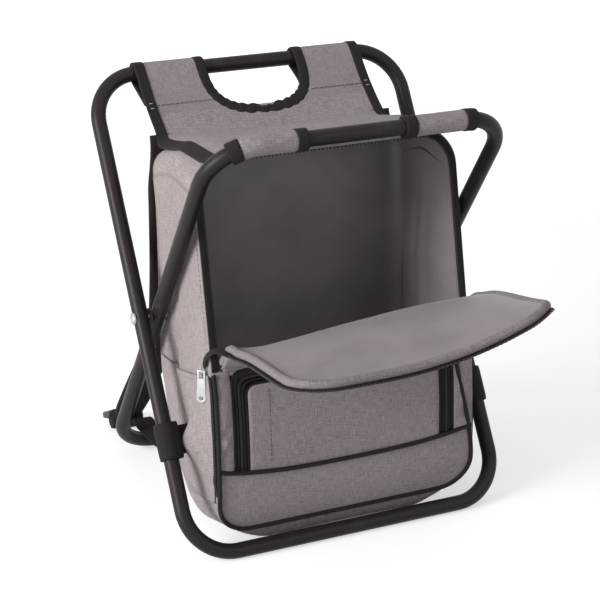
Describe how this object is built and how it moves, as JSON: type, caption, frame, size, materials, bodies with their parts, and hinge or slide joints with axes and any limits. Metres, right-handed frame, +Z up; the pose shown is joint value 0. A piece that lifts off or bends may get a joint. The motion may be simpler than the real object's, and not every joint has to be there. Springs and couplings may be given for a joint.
{
  "type": "folding cooler stool",
  "caption": "Folding stool of two crossed tube frames with a cloth seat sling over a soft cooler bag, with a zipped flap, a front pocket and shoulder straps.",
  "frame": {"origin": "middle of the footprint on the floor, with the stool open", "axes": "+Z up, +Y from the front flap towards the back, +X to the right as seen from the front"},
  "size_m": [0.3778, 0.5206, 0.4459],
  "materials": {
    "frame_tube": "dark brown-black satin paint",
    "hardware": "plain steel",
    "grey_cloth": "grey melange polyester",
    "dark_cloth": "brown-black woven tape",
    "lining": "smooth warm grey lining",
    "zip_metal": "bright plated zip metal",
    "dark_plastic": "black moulded plastic"
  },
  "bodies": {
    "outer_frame": {"outer_frame_tube": "frame_tube", "outer_frame_spigot": "hardware", "pivot_rivet_left": "hardware", "pivot_rivet_right": "hardware", "pivot_spacer_left": "dark_plastic", "pivot_spacer_right": "dark_plastic", "seat_sling": "grey_cloth", "hand_opening_binding": "dark_cloth", "seat_edge_binding_left": "dark_cloth", "seat_edge_binding_right": "dark_cloth", "bag_top": "grey_cloth", "bag_back": "grey_cloth", "bag_base": "grey_cloth", "bag_side_left": "grey_cloth", "bag_side_right": "grey_cloth", "front_border": "grey_cloth", "main_zip_tape": "dark_cloth", "cooler_liner": "lining", "pocket_partition": "lining", "pocket_lower_panel": "grey_cloth", "pocket_surround": "grey_cloth", "pocket_zip_tape": "dark_cloth", "front_piping": "dark_cloth", "pocket_hem_piping": "dark_cloth", "side_pocket_left": "grey_cloth", "side_pocket_right": "grey_cloth", "leg_wrap_left": "dark_cloth", "leg_wrap_right": "dark_cloth", "shoulder_strap_left": "dark_cloth", "shoulder_strap_right": "dark_cloth", "strap_adjuster_left": "dark_plastic", "strap_adjuster_right": "dark_plastic", "strap_webbing_left": "dark_cloth", "strap_webbing_right": "dark_cloth"},
    "inner_frame": {"inner_frame_tube": "frame_tube", "inner_frame_spigot": "hardware", "front_sleeve_left": "grey_cloth", "front_sleeve_right": "grey_cloth", "front_sleeve_inner_binding_left": "dark_cloth", "front_sleeve_inner_binding_right": "dark_cloth", "front_sleeve_outer_binding_left": "dark_cloth", "front_sleeve_outer_binding_right": "dark_cloth"},
    "flap": {"flap_shell": "grey_cloth", "flap_liner": "lining", "flap_zip_tape": "dark_cloth"},
    "pocket_door": {"pocket_door": "grey_cloth"},
    "zip_slider_left": {"zip_slider_left": "zip_metal"},
    "zip_slider_right": {"zip_slider_right": "zip_metal"},
    "zip_pull_left": {"zip_pull_left": "zip_metal"},
    "zip_pull_right": {"zip_pull_right": "zip_metal"},
    "pocket_slider": {"pocket_slider": "zip_metal"},
    "pocket_pull": {"pocket_pull": "zip_metal"}
  },
  "joints": [
    {"name": "fold", "type": "hinge", "parent": "outer_frame", "child": "inner_frame", "pos_m": [0, 0.04207, 0.21893], "axis": [-1, 0, 0], "range_deg": [0, 60]},
    {"name": "flap_hinge", "type": "hinge", "parent": "outer_frame", "child": "flap", "pos_m": [0, -0.06988, 0.20084], "axis": [-1, 0, 0], "range_deg": [0, 83]},
    {"name": "pocket_door_hinge", "type": "hinge", "parent": "outer_frame", "child": "pocket_door", "pos_m": [0, -0.084, 0.0888], "axis": [1, 0, 0], "range_deg": [0, 80]},
    {"name": "zip_slide_left", "type": "slide", "parent": "outer_frame", "child": "zip_slider_left", "axis": [0, 0.2447, 0.9696], "range_m": [0, 0.1]},
    {"name": "zip_slide_right", "type": "slide", "parent": "outer_frame", "child": "zip_slider_right", "axis": [0, 0.2447, 0.9696], "range_m": [0, 0.1]},
    {"name": "zip_pull_swing_left", "type": "hinge", "parent": "zip_slider_left", "child": "zip_pull_left", "pos_m": [-0.15055, -0.05493, 0.195], "axis": [0, 1, 0], "range_deg": [0, 120]},
    {"name": "zip_pull_swing_right", "type": "hinge", "parent": "zip_slider_right", "child": "zip_pull_right", "pos_m": [0.15055, -0.05493, 0.195], "axis": [0, -1, 0], "range_deg": [0, 120]},
    {"name": "pocket_zip_slide", "type": "slide", "parent": "pocket_door", "child": "pocket_slider", "axis": [1, 0, 0], "range_m": [-0.09, 0.09]},
    {"name": "pocket_pull_swing", "type": "hinge", "parent": "pocket_slider", "child": "pocket_pull", "pos_m": [0, -0.07428, 0.18821], "axis": [-1, 0, 0], "range_deg": [0, 120]}
  ]
}
